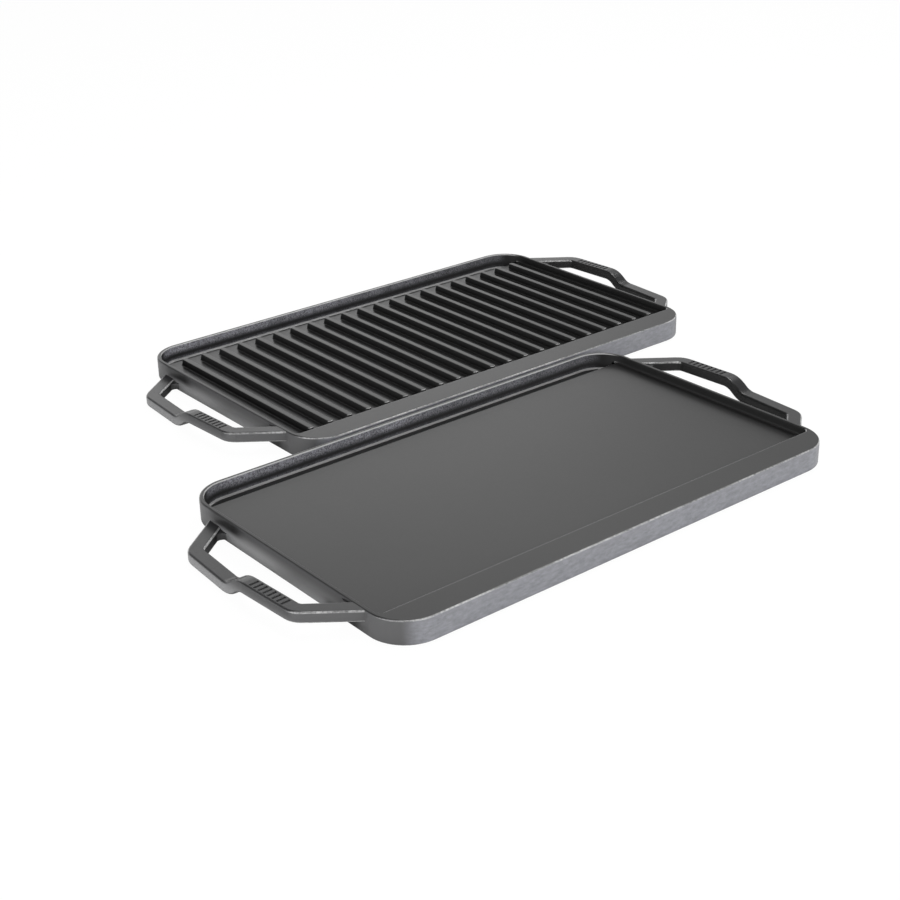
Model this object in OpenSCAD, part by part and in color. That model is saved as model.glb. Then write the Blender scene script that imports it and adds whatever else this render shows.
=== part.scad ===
// A pair of reversible cast iron camp griddle plates lying side by side on their rims.
// Both plates are the same casting: one lies with its flat face up, the other with its ribbed face up.

/* [Plate] */
// length of the casting between the outsides of its end walls
plate_l = 422; // [300:1:600]
// width of the casting from front to back
plate_w = 254; // [190:1:400]
// height of the casting, the same all round
plate_h = 18.5; // [17:0.5:30]
// outer corner radius seen from above
corner_r = 30; // [20:1:50]
// thickness of the upright wall
wall_t = 3.6; // [2.8:0.1:6]
// rounding along the outer edges of the rim
rim_r = 1.3; // [0.5:0.1:1.5]
// rounding along the inner edges of the rim and the edge of the lip
edge_r = 1.2; // [0.4:0.1:1.3]

/* [Cooking faces] */
// depth of the flat cooking face below the rim
face_depth = 7.25; // [5:0.25:9]
// thickness of the web between the two cooking faces
web_t = 4; // [3:0.25:6]
// width of the flat lip along one long side of each face
lip_w = 24; // [16:0.5:40]
// thickness of the lip, which is also the floor of the gutter behind it
lip_t = 4.5; // [3:0.25:6]
// thickness of the riser that joins the lip to the web
riser_t = 3.5; // [2.5:0.25:6]
// radius where the walls meet the cooking faces and the gutter floor
foot_r = 2; // [1:0.25:2]
// radius of the two inside corners beside the lip
lip_corner_r = 4.5; // [4.5:0.5:15]
// rounding along the edge of each cooking face above its gutter
brink_r = 2.5; // [1:0.25:3.25]

/* [Ribs] */
// number of ribs across the ribbed face
rib_count = 21; // [9:1:27]
// distance from an end wall to the middle of the nearest rib
rib_margin = 18.4; // [12:0.2:30]
// distance of the rib tops below the rim
rib_drop = 2; // [1:0.25:4]
// width of a rib at its top
rib_top_w = 5.2; // [3:0.2:7]
// widening of a rib on each side towards its foot
rib_draft = 0.9; // [0.2:0.1:1.5]
// rounding along the top of a rib
rib_r = 0.8; // [0.2:0.1:1.2]
// radius where a rib meets the ribbed face
rib_foot_r = 1; // [0.4:0.1:1.5]
// distance from the ends of the ribs to the lip
rib_end_gap = 5; // [2:0.5:12]

/* [Handles] */
// distance a handle stands out from the end wall
handle_reach = 40; // [34:0.5:60]
// width of the handle bar seen from above
bar_w = 12; // [8:0.5:14]
// rounding along the edges of the handle bar
bar_r = 1.8; // [0.5:0.1:3]
// distance of the handle faces inside the top and bottom of the rim
bar_inset = 0.3; // [0.1:0.1:1]
// distance from a long side of the plate to the near end of the grip
grip_margin = 70; // [64:0.5:80]
// angle each half of the grip falls back towards the end wall
grip_bow = 3.5; // [2:0.5:6]
// angle a leg turns in from the line of the grip
leg_turn = 52; // [45:1:70]
// bend radius between grip and leg, along the middle of the bar
bend_r = 10.5; // [7.5:0.5:12]
// how much slimmer the bar is in its bends, on each side
bend_waist = 0.03; // [0.03:0.01:0.2]
// straight length in the middle of the step between the low and the high half of the grip
jog_flat = 4; // [2:0.5:5]
// slope of the middle of that step
jog_angle = 35; // [30:1:45]
// radius of the inside corner between a leg and the end wall
leg_fillet_r = 5; // [2:0.5:7]

/* [Grip slots] */
// number of slots in the face of each half grip
slot_count = 8; // [4:1:9]
// plain length of a half grip beyond the slots at each end
slot_margin = 3; // [1:0.5:5]
// width of a slot
slot_w = 2.4; // [1:0.1:3.5]
// depth of a slot
slot_depth = 0.8; // [0.3:0.1:1.5]
// land left between the slots and each edge of the bar
slot_land = 2.2; // [1.5:0.1:3]

/* [Pair] */
// gap between the two plates where they lie side by side
pair_gap = 4; // [2:0.5:40]
// sideways offset between the two plates
pair_shift = 115; // [0:1:200]

/* [Hidden] */
$fn = 96;
skin = 1;
grid = 0.125;
bend_lap = 1.5;
edge_z = plate_h - edge_r * 11 / 12;
brink_lift = brink_r / 12;
half_l = plate_l / 2;
half_w = plate_w / 2;
inner_l = on_grid(half_l - wall_t);
inner_w = half_w - wall_t;
inner_r = on_grid(corner_r - wall_t);
front_r = on_grid(lip_corner_r);
face_z = plate_h - face_depth;
web_z = face_z - web_t;
lip_y = half_w - lip_w;
gutter_y = lip_y + riser_t;
rib_h = web_z - rib_drop;
rib_pitch = 2 * (inner_l - rib_margin) / (rib_count - 1);
rib_foot = rib_top_w / 2 + rib_draft;
rib_slope = rib_draft / (rib_h - rib_r);
rib_lean = sqrt(1 + rib_slope * rib_slope);
rib_root = web_t / 2;
rib_end = lip_y - rib_end_gap - rib_foot;
mid_z = plate_h / 2;
bar_h = mid_z - 2 * bar_inset;
grip_x = half_l + handle_reach - bar_w / 2;
jog_rise = plate_h / 4;
jog_r = (jog_rise - jog_flat / 2 * sin(jog_angle)) / (1 - cos(jog_angle));
jog_end = jog_r * sin(jog_angle) + jog_flat / 2 * cos(jog_angle);
grip_half = half_w - grip_margin;
grip_run = grip_half - jog_end;
leg_start_x = grip_x - grip_run * sin(grip_bow) - bend_r * (cos(grip_bow) - cos(leg_turn));
leg_start_y = jog_end + grip_run * cos(grip_bow) + bend_r * (sin(leg_turn) - sin(grip_bow));
leg_len = (leg_start_x - half_l + wall_t / 2 + bar_w) / sin(leg_turn);
slot_pitch = (grip_run - 2 * slot_margin) / slot_count;
slot_l = bar_w - 2 * slot_land;
knee_y = leg_start_y + (leg_start_x - half_l) / tan(leg_turn) - bar_w / 2 / sin(leg_turn);
knee_cut = leg_fillet_r / tan(leg_turn / 2);
knee_in = bar_w / 4;
cast_iron = [0.16, 0.16, 0.17];

// the nearest size on a grid that binary numbers hold exactly, so that neighbouring lengths of a wall meet
function on_grid(size) = round(size / grid) * grid;

// section of a hollow from its wall inwards: rounded at its foot, widening round the edge of the rim
module hollow_section(w, floor_z) {
  top = plate_h + skin;
  foot_z = floor_z + foot_r;
  translate([foot_r, floor_z]) square([w - foot_r, top - floor_z]);
  translate([0, foot_z]) square([foot_r, top - foot_z]);
  translate([foot_r, foot_z]) circle(foot_r);
  difference() {
    translate([-edge_r, edge_z]) square([edge_r, top - edge_z]);
    translate([-edge_r, edge_z]) circle(edge_r);
  }
}

// half of a vertical section, rounded at the outside of its foot and its head
module rim_section(w, h, r) {
  translate([r, 0]) square([w - r, h]);
  translate([0, r]) square([r, h - 2 * r]);
  translate([r, r]) circle(r);
  translate([r, h - r]) circle(r);
}

// a quarter turn of the section given, for the corner at the origin that faces the direction given
module corner(w, facing) {
  rotate([0, 0, facing]) rotate_extrude(angle = 90) translate([w, 0]) mirror([1, 0]) children();
}

// a straight run of the section given, facing the direction given
module side(w, run, facing) {
  rotate([0, 0, facing]) translate([w, run / 2, 0]) rotate([90, 0, 0])
    linear_extrude(run) mirror([1, 0]) children();
}

// the outside of the casting as a solid block with rounded edges
module block() {
  run_l = plate_l - 2 * corner_r;
  run_w = plate_w - 2 * corner_r;
  for (sx = [-1, 1], sy = [-1, 1])
    translate([sx * run_l / 2, sy * run_w / 2, 0])
      corner(corner_r, sx > 0 ? (sy > 0 ? 0 : 270) : (sy > 0 ? 90 : 180))
        rim_section(corner_r, plate_h, rim_r);
  for (s = [-1, 1]) {
    translate([s * run_l / 2, 0, 0]) side(corner_r, run_w, s > 0 ? 0 : 180)
      rim_section(corner_r, plate_h, rim_r);
    translate([0, s * run_w / 2, 0]) side(corner_r, run_l, s > 0 ? 90 : 270)
      rim_section(corner_r, plate_h, rim_r);
  }
  translate([-run_l / 2, -run_w / 2, 0]) cube([run_l, run_w, plate_h]);
}

// the hollow of a face down to the floor height given, from the lip to the back wall
module basin(floor_z) {
  back_y = inner_w - inner_r;
  front_c = front_r - lip_y;
  run = back_y - front_c;
  for (s = [-1, 1]) {
    translate([s * (inner_l - inner_r), back_y, 0]) corner(inner_r, s > 0 ? 0 : 90)
      hollow_section(inner_r, floor_z);
    translate([s * (inner_l - front_r), front_c, 0]) corner(front_r, s > 0 ? 270 : 180)
      hollow_section(front_r, floor_z);
    translate([s * (inner_l - front_r), front_c + run / 2, 0]) side(front_r, run, s > 0 ? 0 : 180)
      hollow_section(front_r, floor_z);
  }
  translate([0, back_y, 0]) side(inner_r, 2 * (inner_l - inner_r), 90)
    hollow_section(inner_r, floor_z);
  translate([0, front_c, 0]) side(front_r, 2 * (inner_l - front_r), 270)
    hollow_section(front_r, floor_z);
  translate([front_r - inner_l, front_c, floor_z])
    cube([2 * (inner_l - front_r), run, plate_h + skin - floor_z]);
}

// the cut that rounds the edge of a cooking face above its gutter
module brink(floor_z) {
  centre_z = floor_z + brink_lift - brink_r;
  translate([-inner_l, gutter_y - brink_r, centre_z]) rotate([90, 0, 90]) linear_extrude(2 * inner_l)
    difference() {
      square([2 * brink_r, brink_r + brink_lift]);
      circle(brink_r);
    }
}

// the hollow of one face together with the gutter along its back wall
module face_hollow(floor_z) {
  basin(floor_z);
  brink(floor_z);
  intersection() {
    basin(lip_t);
    translate([-half_l, gutter_y, 0]) cube([plate_l, half_w, plate_h + 2 * skin]);
  }
}

// turns a shape over about the long axis of the plate
module turned_over() {
  translate([0, 0, plate_h]) rotate([180, 0, 0]) children();
}

// half of the section of a rib, from its middle outwards, with its root in the web
module rib_half() {
  foot_x = rib_foot + rib_foot_r * (rib_lean - rib_slope);
  touch_z = rib_foot_r * (1 - rib_slope / rib_lean);
  polygon([
    [0, -rib_root],
    [rib_foot, -rib_root],
    [rib_foot, 0],
    [rib_top_w / 2, rib_h - rib_r],
    [rib_top_w / 2 - rib_r, rib_h],
    [0, rib_h]
  ]);
  translate([rib_top_w / 2 - rib_r, rib_h - rib_r]) circle(rib_r);
  difference() {
    polygon([
      [rib_foot / 2, -rib_root],
      [foot_x, -rib_root],
      [foot_x, 0],
      [rib_foot - rib_slope * touch_z, touch_z],
      [rib_foot / 2, touch_z]
    ]);
    translate([foot_x, rib_foot_r]) circle(rib_foot_r);
  }
}

// one rib standing on the ribbed face, with rounded ends
module rib() {
  for (s = [0, 180])
    rotate([0, 0, s]) translate([0, rib_end, 0]) rotate_extrude(angle = 180) rib_half();
  translate([0, rib_end, 0]) rotate([90, 0, 0]) linear_extrude(2 * rib_end) {
    rib_half();
    mirror([1, 0]) rib_half();
  }
}

// section of the handle bar: size along the first axis, size along the second axis
module bar_section(a, b) {
  square([a - 2 * bar_r, b], center = true);
  square([a, b - 2 * bar_r], center = true);
  for (i = [-1, 1], j = [-1, 1])
    translate([i * (a / 2 - bar_r), j * (b / 2 - bar_r)]) circle(bar_r);
}

// a straight length of the handle bar, from the origin along the second axis
module bar(run) {
  rotate([-90, 0, 0]) linear_extrude(run) bar_section(bar_w, bar_h);
}

// half of a handle from the middle of its step to a leg: bend of the step, grip, bend and leg
module half_loop() {
  rotate([jog_angle, 0, 0]) translate([0, jog_flat / 2, -jog_r]) {
    rotate([0, 90, 0]) rotate([0, 0, 180 - jog_angle - bend_lap])
      rotate_extrude(angle = jog_angle + 2 * bend_lap)
        translate([jog_r, 0]) bar_section(bar_h - 2 * bend_waist, bar_w - 2 * bend_waist);
    rotate([-jog_angle, 0, 0]) translate([0, 0, jog_r]) rotate([0, 0, grip_bow]) {
      bar(grip_run);
      translate([-bend_r, grip_run, 0]) {
        rotate([0, 0, -bend_lap]) rotate_extrude(angle = leg_turn - grip_bow + 2 * bend_lap)
          translate([bend_r, 0]) bar_section(bar_w - 2 * bend_waist, bar_h - 2 * bend_waist);
        rotate([0, 0, leg_turn - grip_bow]) translate([bend_r, 0, 0]) bar(leg_len);
      }
    }
  }
}

// the filled inside corner between the high leg and the end wall
module knee() {
  wall_x = half_l - wall_t / 2;
  touch_x = half_l + knee_cut * sin(leg_turn);
  touch_y = knee_y - knee_cut * cos(leg_turn);
  translate([0, 0, mid_z + bar_inset + bar_r]) linear_extrude(bar_h - 2 * bar_r) difference() {
    polygon([
      [wall_x, knee_y - knee_cut],
      [half_l + leg_fillet_r, knee_y - knee_cut],
      [touch_x, touch_y],
      [touch_x + knee_in * cos(leg_turn), touch_y + knee_in * sin(leg_turn)],
      [wall_x, knee_y + knee_in / sin(leg_turn)]
    ]);
    translate([half_l + leg_fillet_r, knee_y - knee_cut]) circle(leg_fillet_r);
  }
}

// the slots in the face of one half grip
module slots() {
  first_y = slot_margin + (slot_pitch - slot_w) / 2;
  translate([grip_x, jog_end, plate_h - bar_inset - slot_depth]) rotate([0, 0, grip_bow])
    for (i = [0 : slot_count - 1])
      translate([-slot_l / 2, first_y + i * slot_pitch, 0]) cube([slot_l, slot_w, slot_depth + skin]);
}

// the loop handle at the right end: high half at the back, low half at the front
module handle() {
  difference() {
    intersection() {
      union() {
        translate([grip_x, 0, mid_z]) {
          rotate([jog_angle, 0, 0]) translate([0, -jog_flat / 2, 0]) bar(jog_flat);
          half_loop();
          rotate([180, 0, 0]) half_loop();
        }
        knee();
        turned_over() knee();
      }
      translate([half_l - wall_t / 2, -plate_w, -skin])
        cube([handle_reach + plate_w, 2 * plate_w, plate_h + 2 * skin]);
    }
    slots();
    turned_over() slots();
  }
}

// the whole casting, flat face up, resting on its rim
module casting() {
  difference() {
    block();
    face_hollow(face_z);
    turned_over() face_hollow(plate_h - web_z);
  }
  for (i = [0 : rib_count - 1])
    translate([(i - (rib_count - 1) / 2) * rib_pitch, 0, web_z]) rotate([180, 0, 0]) rib();
  handle();
  rotate([0, 0, 180]) handle();
}

// the plate in front, flat face up
module flat_side_plate() {
  color(cast_iron) translate([-pair_shift / 2, -(plate_w + pair_gap) / 2, 0]) casting();
}

// the plate behind, ribbed face up
module ribbed_side_plate() {
  color(cast_iron) translate([pair_shift / 2, (plate_w + pair_gap) / 2, 0]) turned_over() casting();
}

flat_side_plate();
ribbed_side_plate();
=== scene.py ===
import math
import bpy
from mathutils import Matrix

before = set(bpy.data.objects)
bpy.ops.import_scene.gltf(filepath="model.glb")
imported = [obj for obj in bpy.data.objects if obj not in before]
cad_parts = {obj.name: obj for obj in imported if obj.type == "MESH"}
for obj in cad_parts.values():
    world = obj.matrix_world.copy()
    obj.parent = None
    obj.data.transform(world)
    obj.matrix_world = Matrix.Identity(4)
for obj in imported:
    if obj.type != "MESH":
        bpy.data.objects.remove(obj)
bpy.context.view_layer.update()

from types import SimpleNamespace

import bpy
from mathutils import Matrix, Vector

MM = 0.001


def span(start, full, least=0.0):
    """The sockets of a blend that is at its least at the first value and full at the second."""
    return {"From_Min": start, "From_Max": full, "To_Min": least}


def linear(hex_colour):
    """A linear RGBA colour from an sRGB hex value."""
    parts = [int(hex_colour[i:i + 2], 16) / 255 for i in (1, 3, 5)]
    return tuple(p / 12.92 if p < 0.04045 else ((p + 0.055) / 1.055) ** 2.4 for p in parts) + (1,)


# The plate, as the part's source has it, and where the two plates lie.
PLATE_L = 422 * MM
PLATE_W = 254 * MM
PLATE_H = 18.5 * MM
CORNER_R = 30 * MM
WALL_T = 3.6 * MM
# The edge of the lip and the roots of the handle legs, from the long middle line of a plate.
LIP_Y = 103 * MM
LEG_Y = 71 * MM
FLAT_CENTRE = Vector((-57.5 * MM, -129 * MM, 0))
RIBBED_CENTRE = Vector((57.5 * MM, 129 * MM, 0))

# How a surface faces, by one part of its normal.
UPRIGHT = span(0.8, 0.4)
END_FACING = span(0.86, 0.99)
SIDE_FACING = span(0.7, 0.99)
TURNED_OUT = span(-0.5, -0.1)
EDGE_FACING = (("Y", span(0.15, 0.45)), ("Z", span(0.2, 0.45)), ("Z", span(0.99, 0.93)))
# How far a point stands outside the outer wall.
OUTSIDE = span(-1.4 * MM, -0.4 * MM)
CLOSE_TO_WALL = span(6 * MM, 2 * MM, least=0.75)
IN_LEG_CORNER = span(7 * MM, 1.5 * MM)
INNER_WALL = span(-9 * MM, -6 * MM)
# Places across, along and up the plate.
BETWEEN_LEGS = span(95 * MM, 75 * MM)
NEAR_LEG = span(28 * MM, 10 * MM)
CLEAR_OF_LEG = span(2 * MM, -4 * MM)
TOP_TO_FOOT = span(PLATE_H - 2 * MM, 3 * MM, least=0.1)
LONG_SIDE = span(PLATE_W / 2 - 16 * MM, PLATE_W / 2 - 10 * MM)
PAST_GRIP_STEP = span(25 * MM, 45 * MM)
# towards the end of the long inner walls that is painted darker with shade
TOWARDS_SHADED_END = span(-150 * MM, 180 * MM)
NEAR_RIM = span(0.0, 5.5 * MM)
# The painted highlight line on the slope beside the lip: its middle, its width, its ends and how bright it
# is.
LIP_BAND_Y = LIP_Y + 0.8 * MM
LIP_BAND = span(0.9 * MM, 0.3 * MM)
LIP_BAND_ENDS = (
    ("X", span(PLATE_L / 2 - WALL_T - 3 * MM, PLATE_L / 2 - WALL_T - 6 * MM)),
    ("Z", span(PLATE_H / 2 - 2 * MM, PLATE_H / 2 - 1 * MM)),
)
LIP_BAND_HIGHLIGHT = 0.11

# Patterns of the finish, by the size of one patch.
CLOUD = 30 * MM
FLECK = 2 * MM
# grains of sand are finer than this, and are drawn coarser so that they show
GRAIN = 1 * MM
MARK_H = 2 * MM
MARK_L = 5 * MM
SOFT = {"Detail": 3.0}
FINE = {"Detail": 4.0, "Roughness": 0.6}
# Which levels of a pattern show.
GRAIN_TOPS = span(0.3, 0.65)
GRAIN_STRETCHES = span(0.35, 0.65, least=0.6)
# how much of the pale grain tops the painted shade leaves at that end
GRAIN_IN_END_SHADE = span(1.0, 0.0, least=0.5)
# where the painted highlight and wear on the outer edges show
SHEEN_AND_WEAR_STRETCHES = span(0.42, 0.56, least=0.45)
SHEEN_AND_WEAR_SPECKS = span(0.35, 0.6, least=0.25)
GRINDER_MARKS = span(0.3, 0.7)
# How much painted light the corners and legs get, and how much sheen and wear the edges inside the rim get.
CORNER_LIGHT = 0.22
INSIDE_SHEEN_AND_WEAR = 0.7

# Colours of the iron and its oil, and of the light and shade painted on it.
FILM_DARK = linear("#171717")
FILM_LIGHT = linear("#1d1d1d")
# painted shade on the upright walls that get no painted light
WALL_SHADE = linear("#0d0d0d")
# painted shade in the corners by the legs
LEG_CORNER_SHADE = linear("#101010")
# pale grain tops, part the sand's own tone and part painted highlight
GRAIN_CREST_AND_HIGHLIGHT = linear("#a6a6ae")
# painted floor light outside: grey at the top and on the tops, light at the foot
OUTSIDE_TOP_GREY = linear("#2b2b2c")
LIT_FOOT_GREY = linear("#909091")
# the long outer walls, pale from grinding and from painted floor light
GROUND_LIT_DARK = linear("#737478")
GROUND_LIT_LIGHT = linear("#8a8b91")
# painted highlight and some bare wear on the long edges
BARE_IRON_AND_SHEEN = linear("#bebebe")
# How the film shines, and how deep the grain is.
OIL_IOR = 1.5
FACE_ROUGH, WALL_ROUGH, SHADED_WALL_ROUGH = 0.27, 0.36, 0.6
FLECK_ROUGH = 0.1
GRAIN_DEPTH = 0.25 * MM
FACE_RELIEF, OUTSIDE_RELIEF, SANDY_RELIEF = 0.04, 0.2, 0.8

# Settings that many nodes share.
SMOOTH = {"interpolation_type": "SMOOTHSTEP"}
COLOUR = {"data_type": "RGBA"}
TIMES = {"operation": "MULTIPLY"}
TIMES_PLUS = {"operation": "MULTIPLY_ADD"}
MINUS = {"operation": "SUBTRACT"}
LARGER = {"operation": "MAXIMUM"}
ABSOLUTE = {"operation": "ABSOLUTE"}
SIGN = {"operation": "SIGN"}


def add(tree, kind, settings=None, **sockets):
    """Adds a node with its settings, and sets or links its sockets. A socket is given by its name, with _
    for a space, or by its number, as i0, i1 or i2."""
    node = tree.nodes.new(kind)
    for key, value in (settings or {}).items():
        setattr(node, key, value)
    for key, value in sockets.items():
        name = int(key[1:]) if key[0] == "i" and key[1:].isdigit() else key.replace("_", " ")
        socket = node.inputs[name]
        if isinstance(value, bpy.types.NodeSocket):
            tree.links.new(value, socket)
        else:
            socket.default_value = value
    return node


def spot_on_plate(tree, centre, turned_over):
    """Where a point lies on its plate, and how the surface faces there."""
    place = add(tree, "ShaderNodeTexCoord").outputs["Object"]
    # the plate's own coordinates, flat face up, from the middle of its underside
    turn = math.pi if turned_over else 0
    shift = (-centre.x, centre.y, PLATE_H) if turned_over else (-centre.x, -centre.y, 0)
    own = add(tree, "ShaderNodeMapping", Vector=place, Rotation=(turn, 0, 0), Location=shift).outputs[0]
    off = add(tree, "ShaderNodeVectorMath", MINUS, i0=own, i1=(0, 0, PLATE_H / 2)).outputs[0]
    off = add(tree, "ShaderNodeVectorMath", ABSOLUTE, i0=off).outputs[0]
    # how far the point stands outside the outer wall: 0 on that wall, more on the handles, less inside
    reach = add(tree, "ShaderNodeVectorMath", MINUS, i0=off,
                i1=(PLATE_L / 2 - CORNER_R, PLATE_W / 2 - CORNER_R, PLATE_H)).outputs[0]
    reach = add(tree, "ShaderNodeVectorMath", LARGER, i0=reach, i1=(0, 0, 0)).outputs[0]
    reach = add(tree, "ShaderNodeVectorMath", {"operation": "LENGTH"}, i0=reach).outputs["Value"]
    reach = add(tree, "ShaderNodeMath", MINUS, i0=reach, i1=CORNER_R).outputs[0]
    normal = add(tree, "ShaderNodeNewGeometry").outputs["Normal"]
    slant = add(tree, "ShaderNodeVectorMath", ABSOLUTE, i0=normal).outputs[0]
    slant = add(tree, "ShaderNodeSeparateXYZ", Vector=slant).outputs
    return SimpleNamespace(
        place=place,
        own=own,
        reach=reach,
        slant=slant,
        normal=add(tree, "ShaderNodeSeparateXYZ", Vector=normal).outputs,
        at=add(tree, "ShaderNodeSeparateXYZ", Vector=own).outputs,
        from_middle=add(tree, "ShaderNodeSeparateXYZ", Vector=off).outputs,
        height=add(tree, "ShaderNodeSeparateXYZ", Vector=place).outputs["Z"],
        upright=add(tree, "ShaderNodeMapRange", SMOOTH, Value=slant["Z"], **UPRIGHT).outputs[0],
        sideways=add(tree, "ShaderNodeMapRange", SMOOTH, Value=slant["Y"], **SIDE_FACING).outputs[0],
        outside=add(tree, "ShaderNodeMapRange", SMOOTH, Value=reach, **OUTSIDE).outputs[0],
    )


def lit_outside(tree, spot):
    """Painted floor light on the outer sides that face away from the middle, and the grey painted there."""
    # the sides that face away from the middle get painted light, the finger sides of the handles do not
    away = add(tree, "ShaderNodeMath", SIGN, i0=spot.at["X"]).outputs[0]
    away = add(tree, "ShaderNodeMath", TIMES, i0=away, i1=spot.normal["X"]).outputs[0]
    away = add(tree, "ShaderNodeMapRange", SMOOTH, Value=away, **TURNED_OUT).outputs[0]
    outward_lit = add(tree, "ShaderNodeMath", TIMES, i0=spot.outside, i1=away).outputs[0]
    # painted floor light: the end walls between the legs are lit most at the foot, the grips a little less
    foot = add(tree, "ShaderNodeMapRange", SMOOTH, Value=spot.height, **TOP_TO_FOOT).outputs[0]
    wall = add(tree, "ShaderNodeMapRange", SMOOTH, Value=spot.reach, **CLOSE_TO_WALL).outputs[0]
    foot = add(tree, "ShaderNodeMath", TIMES, i0=foot, i1=wall).outputs[0]
    # the corners and the legs get an even share of painted light
    square = add(tree, "ShaderNodeMapRange", SMOOTH, Value=spot.slant["X"], **END_FACING).outputs[0]
    between = add(tree, "ShaderNodeMapRange", SMOOTH, Value=spot.from_middle["Y"], **BETWEEN_LEGS).outputs[0]
    square = add(tree, "ShaderNodeMath", TIMES, i0=square, i1=between).outputs[0]
    foot = add(tree, "ShaderNodeMix", Factor=square, A=CORNER_LIGHT, B=foot).outputs[0]
    foot = add(tree, "ShaderNodeMath", TIMES, i0=foot, i1=spot.upright).outputs[0]
    grey = add(tree, "ShaderNodeMix", COLOUR, Factor=foot, A=OUTSIDE_TOP_GREY, B=LIT_FOOT_GREY).outputs["Result"]
    return outward_lit, grey


def painted_leg_shade(tree, spot):
    """Painted shade in the corners over a low leg and under a high one, where the film is painted blacker."""
    # above the plate's middle at a low leg, and below it at a high one
    high = add(tree, "ShaderNodeMath", TIMES, i0=spot.at["X"], i1=spot.at["Y"]).outputs[0]
    high = add(tree, "ShaderNodeMath", SIGN, i0=high).outputs[0]
    clear = add(tree, "ShaderNodeMath", MINUS, i0=spot.at["Z"], i1=PLATE_H / 2).outputs[0]
    clear = add(tree, "ShaderNodeMath", TIMES, i0=clear, i1=high).outputs[0]
    clear = add(tree, "ShaderNodeMapRange", SMOOTH, Value=clear, **CLEAR_OF_LEG).outputs[0]
    corner = add(tree, "ShaderNodeMapRange", SMOOTH, Value=spot.reach, **IN_LEG_CORNER).outputs[0]
    leg_shade = add(tree, "ShaderNodeMath", MINUS, i0=spot.from_middle["Y"], i1=LEG_Y).outputs[0]
    leg_shade = add(tree, "ShaderNodeMath", ABSOLUTE, i0=leg_shade).outputs[0]
    leg_shade = add(tree, "ShaderNodeMapRange", SMOOTH, Value=leg_shade, **NEAR_LEG).outputs[0]
    for share in (spot.outside, corner, spot.upright, clear):
        leg_shade = add(tree, "ShaderNodeMath", TIMES, i0=leg_shade, i1=share).outputs[0]
    return leg_shade


def ground_and_lit_walls(tree, spot):
    """The long outer walls, where a grinder bared pale iron, painted paler still for the floor light they
    catch, and the colour of the grinder's marks on them.
    """
    ground_and_lit = add(tree, "ShaderNodeMapRange", SMOOTH, Value=spot.from_middle["Y"], **LONG_SIDE).outputs[0]
    for share in (spot.sideways, spot.outside):
        ground_and_lit = add(tree, "ShaderNodeMath", TIMES, i0=ground_and_lit, i1=share).outputs[0]
    along = add(tree, "ShaderNodeMapping", Vector=spot.own, Scale=(MARK_H / MARK_L, 1, 1)).outputs[0]
    marks = add(tree, "ShaderNodeTexNoise", Vector=along, Scale=1 / MARK_H, **FINE).outputs[0]
    marks = add(tree, "ShaderNodeMapRange", Value=marks, **GRINDER_MARKS).outputs[0]
    pale = add(tree, "ShaderNodeMix", COLOUR, Factor=marks, A=GROUND_LIT_DARK, B=GROUND_LIT_LIGHT).outputs["Result"]
    return ground_and_lit, pale


def sandy_walls(tree, spot, sand, clouds):
    """The long inner walls, as the mould's sand left them: where they are, how far towards the end painted
    darker with shade a point lies, and where the tops of the grains show, pale, partly painted highlight."""
    inside = add(tree, "ShaderNodeMath", MINUS, i0=1.0, i1=spot.outside).outputs[0]
    sandy = add(tree, "ShaderNodeMapRange", SMOOTH, Value=spot.reach, **INNER_WALL).outputs[0]
    for share in (spot.upright, spot.sideways, inside):
        sandy = add(tree, "ShaderNodeMath", TIMES, i0=sandy, i1=share).outputs[0]
    # painted shade: the long inner walls are darker towards one end
    shaded_end = add(tree, "ShaderNodeMapRange", SMOOTH, Value=spot.at["X"], **TOWARDS_SHADED_END).outputs[0]
    # pale grain tops, part painted highlight: most near the rim and in some stretches, less at the shaded end
    pale_and_lit_crests = add(tree, "ShaderNodeMapRange", Value=sand, **GRAIN_TOPS).outputs[0]
    uneven = add(tree, "ShaderNodeMapRange", Value=clouds, **GRAIN_STRETCHES).outputs[0]
    end_shade = add(tree, "ShaderNodeMapRange", Value=shaded_end, **GRAIN_IN_END_SHADE).outputs[0]
    rim = add(tree, "ShaderNodeMapRange", SMOOTH, Value=spot.from_middle["Z"], **NEAR_RIM).outputs[0]
    for share in (uneven, sandy, end_shade, rim):
        pale_and_lit_crests = add(tree, "ShaderNodeMath", TIMES, i0=pale_and_lit_crests, i1=share).outputs[0]
    return sandy, shaded_end, pale_and_lit_crests


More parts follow.
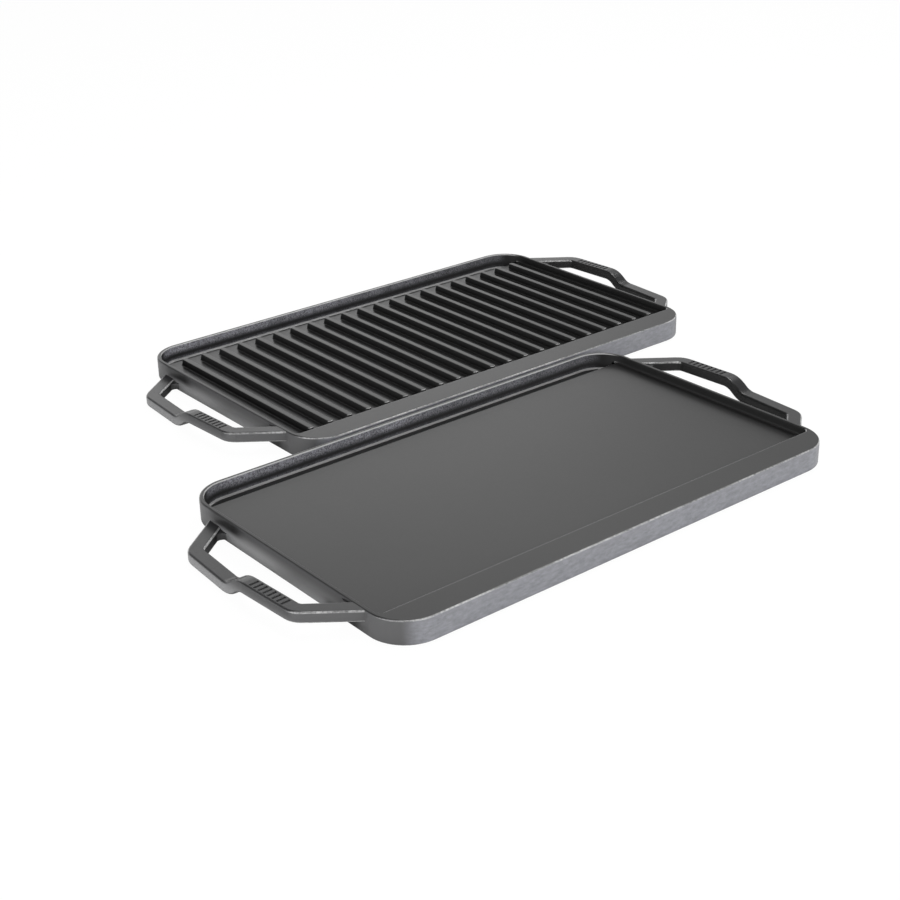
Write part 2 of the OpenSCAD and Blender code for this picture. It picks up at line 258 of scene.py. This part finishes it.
def edge_sheen_and_wear(tree, spot, clouds, flecks):
    """Painted highlight and some wear on the rounded long edges and fillets, and a faint painted highlight by
    the lip.
    """
    sheen_and_wear = add(tree, "ShaderNodeMapRange", SMOOTH, Value=spot.from_middle["Y"], **PAST_GRIP_STEP).outputs[0]
    for part, facing in EDGE_FACING:
        bent = add(tree, "ShaderNodeMapRange", SMOOTH, Value=spot.slant[part], **facing).outputs[0]
        sheen_and_wear = add(tree, "ShaderNodeMath", TIMES, i0=sheen_and_wear, i1=bent).outputs[0]
    # outside, the painted highlight and wear come in stretches and specks
    stretches = add(tree, "ShaderNodeMapRange", Value=clouds, **SHEEN_AND_WEAR_STRETCHES).outputs[0]
    specks = add(tree, "ShaderNodeMapRange", Value=flecks, **SHEEN_AND_WEAR_SPECKS).outputs[0]
    stretches = add(tree, "ShaderNodeMath", TIMES, i0=stretches, i1=specks).outputs[0]
    patchy = add(tree, "ShaderNodeMix", Factor=spot.outside, A=INSIDE_SHEEN_AND_WEAR, B=stretches).outputs[0]
    sheen_and_wear = add(tree, "ShaderNodeMath", TIMES, i0=sheen_and_wear, i1=patchy).outputs[0]
    # a faint painted highlight line on the slope beside the lip
    band = add(tree, "ShaderNodeMath", MINUS, i0=spot.from_middle["Y"], i1=LIP_BAND_Y).outputs[0]
    band = add(tree, "ShaderNodeMath", ABSOLUTE, i0=band).outputs[0]
    band = add(tree, "ShaderNodeMapRange", SMOOTH, Value=band, **LIP_BAND).outputs[0]
    for part, end in LIP_BAND_ENDS:
        within = add(tree, "ShaderNodeMapRange", SMOOTH, Value=spot.from_middle[part], **end).outputs[0]
        band = add(tree, "ShaderNodeMath", TIMES, i0=band, i1=within).outputs[0]
    band = add(tree, "ShaderNodeMath", TIMES, i0=band, i1=LIP_BAND_HIGHLIGHT).outputs[0]
    return add(tree, "ShaderNodeMath", LARGER, i0=sheen_and_wear, i1=band).outputs[0]


def seasoned_cast_iron(name, centre, turned_over):
    """Sand cast grey iron under baked-on oil: a satin black film that mirrors the room softly on the faces
    and is duller on the upright walls, with painted shade there and by the legs, grains of sand on the long
    inner walls with pale tops, part painted highlight, painted floor light on the ends and grips, long sides
    with a grinder's marks and painted floor light, and painted highlight with some wear along the edges."""
    material = bpy.data.materials.new(name)
    material.use_nodes = True
    tree = material.node_tree
    tree.nodes.clear()
    spot = spot_on_plate(tree, centre, turned_over)
    clouds = add(tree, "ShaderNodeTexNoise", Vector=spot.place, Scale=1 / CLOUD, **SOFT).outputs[0]
    flecks = add(tree, "ShaderNodeTexNoise", Vector=spot.place, Scale=1 / FLECK, **FINE).outputs[0]
    sand = add(tree, "ShaderNodeTexNoise", Vector=spot.place, Scale=1 / GRAIN, **FINE).outputs[0]
    # masks for painted floor light outside and on the long sides, and pale grain tops with painted highlight
    outward_lit, grey = lit_outside(tree, spot)
    ground_and_lit, pale = ground_and_lit_walls(tree, spot)
    sandy, shaded_end, pale_and_lit_crests = sandy_walls(tree, spot, sand, clouds)
    # painted shade: the upright walls without painted light are darkened, the sandy ones only towards one end
    shade_share = add(tree, "ShaderNodeMix", Factor=sandy, A=1.0, B=shaded_end).outputs[0]
    shaded_walls = add(tree, "ShaderNodeMath", MINUS, i0=1.0, i1=outward_lit).outputs[0]
    for share in (spot.upright, shade_share):
        shaded_walls = add(tree, "ShaderNodeMath", TIMES, i0=shaded_walls, i1=share).outputs[0]
    # each layer, painted light and shade among them, lies over those before it
    colour_layers = (
        (shaded_walls, WALL_SHADE),
        (pale_and_lit_crests, GRAIN_CREST_AND_HIGHLIGHT),
        (outward_lit, grey),
        (painted_leg_shade(tree, spot), LEG_CORNER_SHADE),
        (ground_and_lit, pale),
        (edge_sheen_and_wear(tree, spot, clouds, flecks), BARE_IRON_AND_SHEEN),
    )
    colour = add(tree, "ShaderNodeMix", COLOUR, Factor=clouds, A=FILM_DARK, B=FILM_LIGHT).outputs["Result"]
    for amount, layer_colour in colour_layers:
        colour = add(tree, "ShaderNodeMix", COLOUR, Factor=amount, A=colour, B=layer_colour).outputs["Result"]
    # the faces are smoother than the walls, and the walls with painted shade are duller
    rough = add(tree, "ShaderNodeMix", Factor=spot.upright, A=FACE_ROUGH, B=WALL_ROUGH).outputs[0]
    rough = add(tree, "ShaderNodeMath", TIMES_PLUS, i0=flecks, i1=FLECK_ROUGH, i2=rough).outputs[0]
    rough = add(tree, "ShaderNodeMix", Factor=shaded_walls, A=rough, B=SHADED_WALL_ROUGH).outputs[0]
    relief = add(tree, "ShaderNodeMix", Factor=sandy, A=FACE_RELIEF, B=SANDY_RELIEF).outputs[0]
    relief = add(tree, "ShaderNodeMix", Factor=spot.outside, A=relief, B=OUTSIDE_RELIEF).outputs[0]
    bump = add(tree, "ShaderNodeBump", Strength=relief, Distance=GRAIN_DEPTH, Height=sand).outputs[0]
    shader = add(tree, "ShaderNodeBsdfPrincipled",
                 Base_Color=colour, Roughness=rough, IOR=OIL_IOR, Normal=bump).outputs[0]
    add(tree, "ShaderNodeOutputMaterial", Surface=shader)
    return material


plates = (("flat_side_plate", FLAT_CENTRE, False), ("ribbed_side_plate", RIBBED_CENTRE, True))
for node, centre, turned_over in plates:
    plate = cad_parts[node]
    iron = seasoned_cast_iron("seasoned cast iron, " + node.replace("_", " "), centre, turned_over)
    plate.material_slots[0].material = iron

# Floor and backdrop: one pale sheet just under the plates, which takes their shadow and shows in the iron.
FLOOR_SIDE = 12
FLOOR_DROP = 0.2 * MM
# how much of an even white is seen in place of the lit paper, by the camera and in the iron
WHITE_TO_CAMERA = 0.95
WHITE_IN_IRON = 0.15
PAPER_GLOW = 1.02
bpy.ops.mesh.primitive_plane_add(size=FLOOR_SIDE, location=(0, 0, -FLOOR_DROP))
floor = bpy.context.object
floor.name = "floor"
paper = bpy.data.materials.new("white studio paper")
paper.use_nodes = True
tree = paper.node_tree
tree.nodes.clear()
path = add(tree, "ShaderNodeLightPath").outputs
seen = add(tree, "ShaderNodeMath", TIMES, i0=path["Is Glossy Ray"], i1=WHITE_IN_IRON).outputs[0]
seen = add(tree, "ShaderNodeMath", TIMES_PLUS,
           i0=path["Is Camera Ray"], i1=WHITE_TO_CAMERA, i2=seen).outputs[0]
matte = add(tree, "ShaderNodeBsdfDiffuse", Color=linear("#f4f4f4")).outputs[0]
glow = add(tree, "ShaderNodeEmission", Color=linear("#ffffff"), Strength=PAPER_GLOW).outputs[0]
sheet = add(tree, "ShaderNodeMixShader", i0=seen, i1=matte, i2=glow).outputs[0]
add(tree, "ShaderNodeOutputMaterial", Surface=sheet)
floor.data.materials.append(paper)

# Light: a white room, brightest up to mid height, darker to the left and to the far right, and four lamps.
ROOM_LEVEL, CEILING_LEVEL = 1.5, 0.1
# heights and sides in the room, as parts of the direction from the plates
WALL_TOP, CEILING = 0.42, 0.75
ROOM_SIDES = (span(-0.3, 0.2, least=0.2), span(0.71, 0.62, least=0.4))
world = bpy.data.worlds.new("white room")
bpy.context.scene.world = world
world.use_nodes = True
tree = world.node_tree
tree.nodes.clear()
path = add(tree, "ShaderNodeLightPath").outputs
towards = add(tree, "ShaderNodeTexCoord").outputs["Generated"]
towards = add(tree, "ShaderNodeSeparateXYZ", Vector=towards).outputs
walls = add(tree, "ShaderNodeMapRange", Value=towards["Z"],
            From_Min=WALL_TOP, From_Max=CEILING, To_Min=ROOM_LEVEL, To_Max=CEILING_LEVEL).outputs[0]
for side in ROOM_SIDES:
    shade = add(tree, "ShaderNodeMapRange", Value=towards["X"], **side).outputs[0]
    walls = add(tree, "ShaderNodeMath", TIMES, i0=walls, i1=shade).outputs[0]
level = add(tree, "ShaderNodeMix", Factor=path["Is Camera Ray"], A=walls, B=1.0).outputs[0]
room = add(tree, "ShaderNodeBackground", Color=linear("#ffffff"), Strength=level).outputs[0]
add(tree, "ShaderNodeOutputWorld", Surface=room)


def soft_box(name, towards, distance, width, height, power):
    """A soft box that looks at the pair from the direction given."""
    lamp = bpy.data.lights.new(name, "AREA")
    lamp.shape = "RECTANGLE"
    lamp.size = width
    lamp.size_y = height
    lamp.energy = power
    box = bpy.data.objects.new(name, lamp)
    direction = Vector(towards).normalized()
    box.location = direction * distance
    box.rotation_euler = direction.to_track_quat("Z", "Y").to_euler()
    bpy.context.scene.collection.objects.link(box)


soft_box("front soft box", (0.15, -1, 0.35), distance=1.8, width=1.2, height=0.8, power=13)
soft_box("top soft box", (0.5, 0.2, 0.84), distance=2.0, width=0.3, height=0.8, power=11)
soft_box("low left soft box", (-1, -0.15, 0.18), distance=1.5, width=1.2, height=0.5, power=13)
soft_box("overhead lamp", (0.05, 0.06, 1), distance=2.0, width=0.25, height=0.25, power=9)

# Camera: at the photograph's viewing angle of the plate in front.
YAW, TILT, ROLL = math.radians(-38.81), math.radians(25.33), math.radians(-1.23)
# how far it stands back from the point it aims at, and then across and up
DISTANCE, RIGHT, UP = 1213.9 * MM, -49.6 * MM, 27.9 * MM
AIM = FLAT_CENTRE - Vector((1.5 * MM, 0, 0))
FOCAL_PX, PICTURE_PX = 1624.5, 900
SENSOR_MM = 36
back = Vector((math.sin(YAW) * math.cos(TILT), -math.cos(YAW) * math.cos(TILT), math.sin(TILT)))
level_right = Vector((math.cos(YAW), math.sin(YAW), 0))
level_up = back.cross(level_right)
right = level_right * math.cos(ROLL) + level_up * math.sin(ROLL)
up = level_up * math.cos(ROLL) - level_right * math.sin(ROLL)
camera_data = bpy.data.cameras.new("camera")
camera_data.sensor_width = SENSOR_MM
camera_data.lens = FOCAL_PX / PICTURE_PX * SENSOR_MM
camera = bpy.data.objects.new("camera", camera_data)
bpy.context.scene.collection.objects.link(camera)
stand = Matrix.Translation(AIM + back * DISTANCE + right * RIGHT + up * UP)
camera.matrix_world = stand @ Matrix((right, up, back)).transposed().to_4x4()
bpy.context.scene.camera = camera

bpy.context.scene.view_settings.view_transform = "Standard"
